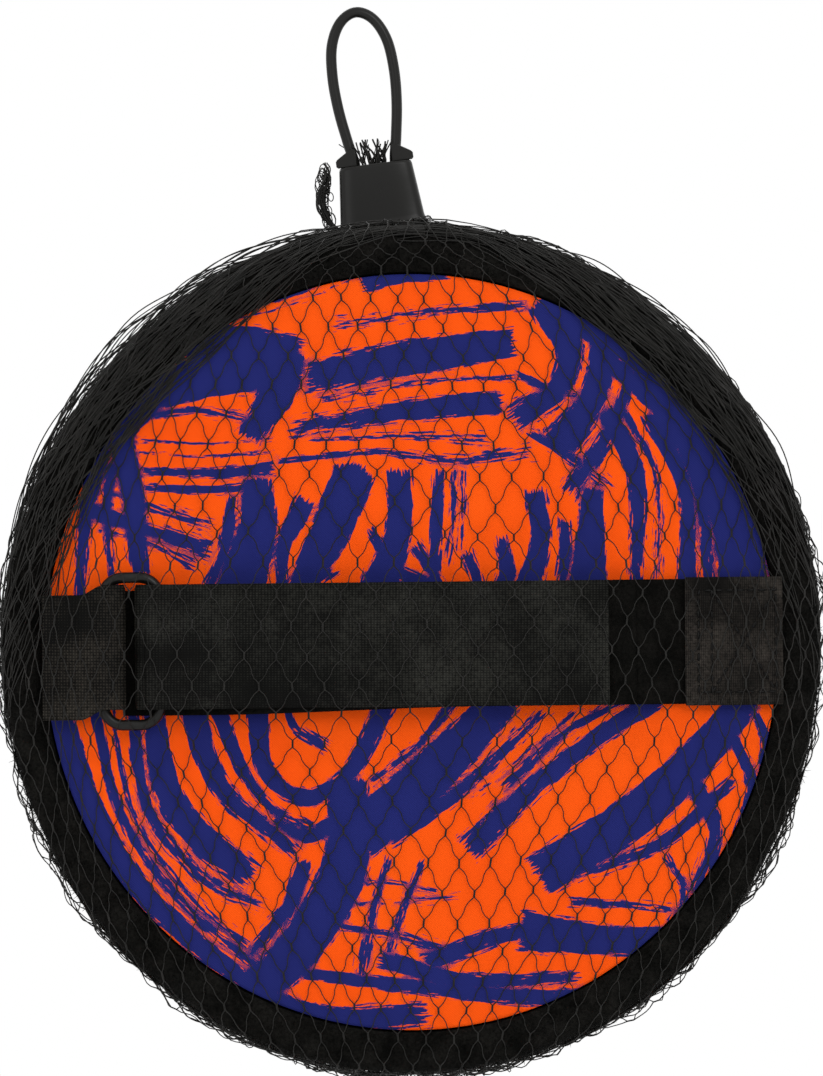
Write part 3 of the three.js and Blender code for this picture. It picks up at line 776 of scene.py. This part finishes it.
def net_threads():
    """Every thread of the front half as an array of points, with its radius."""
    threads = []
    top, bottom = int(UNROLLED / ROW), -int(UNROLLED / ROW)
    for start in range(-HALF_COLUMNS, HALF_COLUMNS + 1):
        for lean in (-1, 1):
            columns, heights, radii = [], [], []
            for row in range(bottom, top + 1):
                column = start + (lean * 0.5 if row % 2 else 0)
                after = start + (0 if row % 2 else lean * 0.5)
                node = ROW * 0.11
                columns += [column, column]
                heights += [row * ROW - node, row * ROW + node]
                radii += [1.25, 1.25]
                if row < top:
                    for t in (0.2, 0.4, 0.6, 0.8):
                        ease = t - 0.11 * math.sin(2 * math.pi * (t - 0.5))
                        columns.append(column + (after - column) * ease)
                        heights.append(row * ROW + node + (ROW - 2 * node) * t)
                        radii.append(0.95)
            # Both ends run on to the poles, where the halves meet.
            columns, radii = [columns[0], *columns, columns[-1]], [1.25, *radii, 1.25]
            c, h = np.array(columns), np.array([-UNROLLED * 0.999, *heights, UNROLLED * 0.999])
            if abs(start) == HALF_COLUMNS and np.sign(start) * lean > 0:
                continue
            threads.append((c, h, np.array(radii), lean))
    return threads


def front_strand(c, h, lean, mirror, seed):
    """Points of one thread, in disc-local millimetres on its own half."""
    x = column_place(c) * narrowing(h) + lean * 0.1
    def warp(across, along, layer):
        return np.array([noise.noise(Vector((a, b, layer))) for a, b in zip(across, along)])

    x_warp = warp(c * 0.35 + seed, h * 0.045, 0.5)
    z_warp = warp(c * 0.3, h * 0.04 + seed, 7.5)
    fine = warp(c * 1.3 + seed, h * 0.16, 2.5)
    edge = np.abs(c) / HALF_COLUMNS
    free = smooth((UNROLLED - 12 - np.abs(h)) / 20) * (1 - smooth((edge - 0.9) / 0.1))
    x = x + (1.5 * x_warp + 0.5 * fine) * free + drift(h) * mirror
    z = h + 1.6 * z_warp * free
    slack = np.maximum(z_warp + fine * 0.8, 0)
    outside = smooth((np.hypot(x, z) - ROLL_FROM - 2) / 6)
    loose = 0.35 + outside * (0.3 + 3.2 * slack)
    return bag_surface(x, z, loose)


def bundle_strands(seed, count=74):
    """Net columns pulled together into a dark bundle along the upper rim, with a few loose outside it."""
    random = np.random.default_rng(seed)
    strands, radii = [], []
    for k in range(2 * count):
        left = k % 2 == 0
        stray = k % 9 == 0
        first = random.uniform(150, 192) if left else random.uniform(-8, 32)
        turn = np.radians(np.linspace(first, 88 if left else 92, 84))
        place = random.uniform(0, 1) ** 0.8
        wave = np.array([noise.noise(Vector((a * 5.0, k * 3.1, seed))) for a in turn])
        zigzag = np.sin(turn * 17 + k * 1.7) * (0.9 if stray else 0.4)
        swell = smooth(np.abs(turn - math.radians(first)) / 0.35)
        rise = smooth((np.linspace(0, 1, len(turn)) - 0.45) / 0.5)
        if stray:
            run = np.full(turn.shape, ROLL_TO + random.uniform(0, 4))
            fade = np.cos((turn - math.radians(128 if left else 52)) * 1.5)
            loose = (random.uniform(0.8, 4.4 if left else 2.6) + wave * 1.2 + zigzag) * swell * fade
        else:
            run = ROLL_FROM - (10 if left else 8) * swell * (1 - rise) + 15 * place * (1 - 0.4 * rise)
            run = run + 3.5 * rise + wave * 2.4 + zigzag
            loose = 0.4 + random.uniform(0, 1.2) * swell
        radius, depth = over_rim(run, np.maximum(loose, 0.2))
        strands.append(np.stack([OVAL_X * radius * np.cos(turn), -depth, OVAL_Z * radius * np.sin(turn)], -1))
        radii.append(np.full(turn.shape, THREAD_RADIUS * random.uniform(0.9, 1.3)))
    return strands, radii


STRAP_TENT = {"inner": (-45, 54, -15, 19), "outer": (-90, 96, -75, 79)}
NECK_REACH = 25
NECK_HEIGHT = 102.0
NECK_PYRAMID = {"inner": (11, 5), "outer": (11 + NECK_REACH, 5 + NECK_REACH)}


def tent_sides(x, z):
    """How far up each side of the tent over the strap a point is, 0 at its foot and 1 at its top."""
    i, o = STRAP_TENT["inner"], STRAP_TENT["outer"]
    return np.stack([(x - o[0]) / (i[0] - o[0]), (o[1] - x) / (o[1] - i[1]),
                     (z - o[2]) / (i[2] - o[2]), (o[3] - z) / (o[3] - i[3])], -1)


def thread_mesh(strands, radii, sides=4):
    """All strands as one set of vertices and quads."""
    verts, faces, start = [], [], 0
    for points, radius in zip(strands, radii):
        v, f = sweep(points, radius, sides)
        verts.append(v)
        faces.append(np.array([face for face in f if len(face) == 4]) + start)
        start += len(v)
    return np.vstack(verts), np.vstack(faces)


def cut_out(verts, faces, keep):
    chosen = faces[keep]
    used, index = np.unique(chosen, return_inverse=True)
    return verts[used], index.reshape(chosen.shape)


def net_piece(name, verts, faces):
    obj = mesh_object(name, verts, faces, NET)
    return obj


def into_neck(points):
    """The top of each strand rises from the band into the ferrule's mouth."""
    mouth = tilted([[0, 0, -FERRULE_HEIGHT]], CLIP_TILT, CLIP_TOP)[0]
    reach = smooth(1 - np.hypot((points[:, 0] - mouth[0]) / 24, points[:, 1] / 22))
    near = smooth((points[:, 2] - 97) / 3) * reach
    target = points.copy()
    target[:, 0] = mouth[0] + np.clip((points[:, 0] - mouth[0]) * 0.35, -7.5, 7.5)
    target[:, 1] = np.clip(points[:, 1] * 0.25, -2.6, 2.6)
    target[:, 2] = mouth[2] + 1.5 + 0.12 * (points[:, 0] - mouth[0])
    return points + (target - points) * near[:, None]


def net_bag():
    """Both halves, cut into pieces: over the strap, at the neck, and the rest, which ride on the bag."""
    for side in ("front", "rear"):
        strands, radii = [], []
        mirror = 1 if side == "front" else -1
        for c, h, r, lean in net_threads():
            points = front_strand(c, h, lean, mirror, 3.7 if side == "front" else 9.2)
            if side == "rear":
                points = points * [-1, -1, 1]
            strands.append(into_neck(points))
            radii.append(r * THREAD_RADIUS)
        extra, extra_radii = bundle_strands(31 if side == "front" else 32)
        strands += [into_neck(points * ([1, 1, 1] if side == "front" else [1, -1, 1])) for points in extra]
        radii += extra_radii
        verts, faces = thread_mesh(strands, radii)
        middle = verts[faces].mean(1)
        local = middle * [mirror, mirror, 1]
        past_x = np.abs(middle[:, 0] - NECK_X) - NECK_PYRAMID["inner"][0]
        past_y = np.abs(middle[:, 1]) - NECK_PYRAMID["inner"][1]
        neck = np.maximum(past_x, past_y) / NECK_REACH
        in_neck = (neck < 1) & (middle[:, 2] > 60)
        along_x = past_x >= past_y
        tent = tent_sides(local[:, 0], local[:, 2])
        in_tent = (tent.min(1) > 0) & (-local[:, 1] > RIM_FRONT - 2) & ~in_neck
        place = (verts + CENTRE) * MM
        for index, sector in enumerate(("left", "right", "lower", "upper")):
            piece_verts, piece_faces = cut_out(place, faces, in_tent & (tent.argmin(1) == index))
            obj = net_piece(f"{side}_net_over_strap_{sector}", piece_verts, piece_faces)
            i, o = STRAP_TENT["inner"][index], STRAP_TENT["outer"][index]
            where = (lambda v: [v, 0, 0]) if index < 2 else (lambda v: [0, 0, v])
            start, end = on_disc([where(o), where(i)], side)
            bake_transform(obj)
            if sector == "left":
                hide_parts(f"net_{side}")
        for sector, chosen, axis, sign in (("west", along_x & (middle[:, 0] < NECK_X), 0, -1),
                                           ("east", along_x & (middle[:, 0] >= NECK_X), 0, 1),
                                           ("mouth", ~along_x, 1, -mirror)):
            piece_verts, piece_faces = cut_out(place, faces, in_neck & chosen)
            obj = net_piece(f"{side}_net_neck_{sector}", piece_verts, piece_faces)
            start, end = np.array([[NECK_X, 0.0, NECK_HEIGHT]] * 2)
            start[axis] += sign * NECK_PYRAMID["inner"][axis]
            end[axis] += sign * NECK_PYRAMID["outer"][axis]
            start, end = on_disc([start, end])
            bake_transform(obj)
        rest = ~in_neck & ~in_tent
        for name, part in (("upper", middle[:, 2] > 0), ("lower", middle[:, 2] <= 0)):
            obj = net_piece(f"{side}_net_{name}", *cut_out(place, faces, rest & part))
            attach(obj, "bag")
            if (side, name) == ("front", "upper"):
                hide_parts("net_band")


# ---- the ball ----
def felt_ball():
    rings, segments = 72, 128
    polar = np.linspace(0.02, math.pi - 0.02, rings)
    angle = np.arange(segments) * 2 * math.pi / segments
    st, ct = np.sin(polar)[:, None], np.cos(polar)[:, None]
    seam = np.abs(ct - 0.28 * np.sin(2 * angle) * st)
    lump = np.array([[noise.fractal(Vector((math.sin(p) * math.cos(a) * 9, math.sin(p) * math.sin(a) * 9,
                                            math.cos(p) * 9)), 1, 2, 3) for a in angle] for p in polar])
    radius = BALL_RADIUS - 0.25 - 0.7 * smooth(1 - seam / 0.04) + 0.15 * lump
    verts = np.stack([radius * st * np.cos(angle), radius * st * np.sin(angle), radius * ct], -1)
    obj = mesh_object("ball_felt", on_disc(verts), capped_tube(rings, segments), FELT)
    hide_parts("ball_felt_upper", "ball_felt_lower")
    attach(obj, "ball")


# ---- the clip ----
def rounded(half_x, half_y, power, count):
    """A rounded oblong outline."""
    a = np.arange(count) * 2 * math.pi / count
    c, s = np.cos(a), np.sin(a)
    x = half_x * np.sign(c) * np.abs(c) ** (2 / power)
    return np.stack([x, half_y * np.sign(s) * np.abs(s) ** (2 / power)], 1)


def clip_piece(name, verts, faces, material, slot_name, node, shade=True):
    obj = mesh_object(name, on_clip(verts), faces, material, shade)
    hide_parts(node)
    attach(obj, "clip")
    return obj


def ferrule_piece():
    """A flared sleeve with a rolled lip below and an open slot above."""
    levels = [(0, 0.93), (0.02, 0.985), (0.06, 1.0), (0.3, 1.0), (0.6, 1.0), (0.88, 1.0), (0.92, 1.01),
              (0.955, 1.035), (0.985, 1.035), (1.0, 1.01)]
    wall, count = 1.3, 96
    outside = [(down, grow, 0, 4.6) for down, grow in levels]
    inside = [(down, 1, wall, 3.6) for down, _ in reversed(levels)]
    rings = []
    for down, grow, inset, power in outside + inside:
        half_x, half_y = 8.8 * (1 + 0.185 * down) * grow, 4.5 * (1 + 0.06 * down) * grow
        outline = rounded(half_x - inset, half_y - inset, power, count)
        rings.append(np.column_stack([outline, np.full(count, -down * FERRULE_HEIGHT)]))
    faces = grid_faces(len(rings), count, wrap_rows=True, wrap_columns=True)
    clip_piece("ferrule_sleeve", np.vstack(rings), faces, PLASTIC, "plastic", "ferrule")


def loop_piece():
    """The moulded loop, its feet in the ferrule, and a small shoulder on each side."""
    half = [(4.9, -9), (4.9, -4), (4.9, 0.6), (5.9, 6), (7.1, 14), (7.5, 22), (6.7, 29.5), (4, 34.9)]
    route = [(x, 0, z) for x, z in half] + [(0, 0, LOOP_HEIGHT)] + [(-x, 0, z) for x, z in reversed(half)]
    path = even(catmull(route, 12), 0.6)
    parts = [sweep(path, 1.3, 18)]
    ring = np.array([(4.2, 0.0), (9.0, 0.0), (9.4, 0.4), (9.4, 1.6), (9.0, 2.1), (5.6, 4.2), (4.4, 4.2)])
    centre = ring.mean(0)
    layers = [(-2.2, 0.25), (-2.0, 0), (2.0, 0), (2.2, 0.25)]
    for sign in (-1, 1):
        stack = []
        for y, inset in layers:
            shrunk = centre + (ring - centre) * (1 - inset / 3)
            stack.append(np.column_stack([sign * shrunk[:, 0], np.full(len(ring), y), shrunk[:, 1]]))
        parts.append((np.vstack(stack), capped_tube(len(stack), len(ring))))
    obj = clip_piece("moulded_loop", *joined(parts), PLASTIC, "plastic", "hang_loop", shade=False)
    for face in obj.data.polygons:
        face.use_smooth = len(face.vertices) == 4 and face.index < len(path) * 18


def frayed_ends():
    """The net's cut ends above the ferrule, and the tail of looped threads beside it."""
    random = np.random.default_rng(21)
    parts = []
    for k in range(46):
        x, y = random.uniform(-3.2, 3.2), random.uniform(-1.9, 1.9)
        height = random.uniform(2.0, 6.2)
        lean = random.normal(0, 0.35)
        curl = random.normal(0, 0.8)
        points = [(x * 0.7, y, -6), (x * 0.85, y, -1), (x, y, 0.5),
                  (x + lean * height * 0.5 + curl * 0.3, y, height * 0.6),
                  (x + lean * height + curl, y + random.normal(0, 0.5), height)]
        parts.append(sweep(catmull(points, 4), THREAD_RADIUS * random.uniform(1.0, 1.9), 5))
    clip_piece("net_cut_ends", *joined(parts), NET, "net", "net_neck")
    parts = []
    for k in range(30):
        reach = random.uniform(0.4, 1.0)
        wander = random.normal(0, 0.35, 6)
        depth = random.uniform(-1.9, 1.9)
        top = random.uniform(-3.5, 2.0)
        points = [(-9.6, depth * 0.5, -15.6), (-11.4 - reach, depth, -13.6 + wander[0]),
                  (-12.0 - 3.0 * reach + wander[1], depth + wander[4], -9.5),
                  (-11.8 - 2.8 * reach + wander[2], depth, -5.2),
                  (-11.0 - 1.6 * reach + wander[3], depth - wander[4], top - 2),
                  (-11.2 - 1.2 * reach + wander[5], depth, top)]
        parts.append(sweep(catmull(points, 6), THREAD_RADIUS * random.uniform(0.95, 1.5), 5))
    for k in range(34):
        z = random.uniform(-14, 0)
        reach = 11.6 + random.uniform(0, 3.4) * math.sin((z + 16) / 18 * math.pi)
        size = random.uniform(0.5, 1.3)
        turn = np.linspace(0, 2 * math.pi, 13)[:-1]
        points = np.stack([-reach + size * np.cos(turn), random.normal(0, 0.7) + 0.4 * np.sin(2 * turn),
                           z + 1.7 * size * np.sin(turn)], -1)
        parts.append(sweep(points, THREAD_RADIUS, 5, closed=True))
    clip_piece("net_side_tail", *joined(parts), NET, "net", "net_tail")


# ---- make everything ----
for side, seed in (("front", 5), ("rear", 6)):
    plush_pad(side)
    pile(side, seed)
    cover(side)
    hand_strap(side)
    buckle(side)
net_bag()
felt_ball()
ferrule_piece()
loop_piece()
frayed_ends()
for node, material in (("front_board", BOARD), ("rear_board", BOARD), ("ball_core", SPONGE)):
    obj = bpy.data.objects[node]
    obj.data.materials.clear()
    obj.data.materials.append(material)

# ---- light and floor ----
FLOOR_Z = CAD_BOX[0][2] - 0.07


def floor():
    s = Shader("pale_floor")
    tone = s.noise(s.place(), 3.0, 3.0)
    colour = s.mix(tone, (0.84, 0.84, 0.84, 1), (0.88, 0.88, 0.88, 1))
    material = s.finish(colour, 0.7, Specular_IOR_Level=0.1)
    count, radius = 96, 1.4
    verts = [(radius * math.cos(2 * math.pi * k / count), radius * math.sin(2 * math.pi * k / count), FLOOR_Z)
             for k in range(count)]
    obj = mesh_object("floor", verts, [list(range(count))], material, shade=False)


def area_light(name, place, power, size):
    data = bpy.data.lights.new(name, "AREA")
    data.energy, data.size = power, size
    obj = bpy.data.objects.new(name, data)
    bpy.context.collection.objects.link(obj)
    obj.location = place
    aim = Vector((0.013, 0, -0.13)) - Vector(place)
    obj.rotation_euler = aim.to_track_quat("-Z", "Y").to_euler()


floor()
area_light("key", (0.7, -1.5, 0.75), 7, 0.8)
area_light("fill", (-1.0, -1.4, 0.1), 2, 0.9)
area_light("back", (-0.4, 1.4, 0.6), 6, 0.9)
world = bpy.data.worlds.new("studio")
world.use_nodes = True
world.node_tree.nodes["Background"].inputs["Color"].default_value = (1, 1, 1, 1)
world.node_tree.nodes["Background"].inputs["Strength"].default_value = 1.0
bpy.context.scene.world = world
bpy.context.scene.view_settings.view_transform = "Standard"
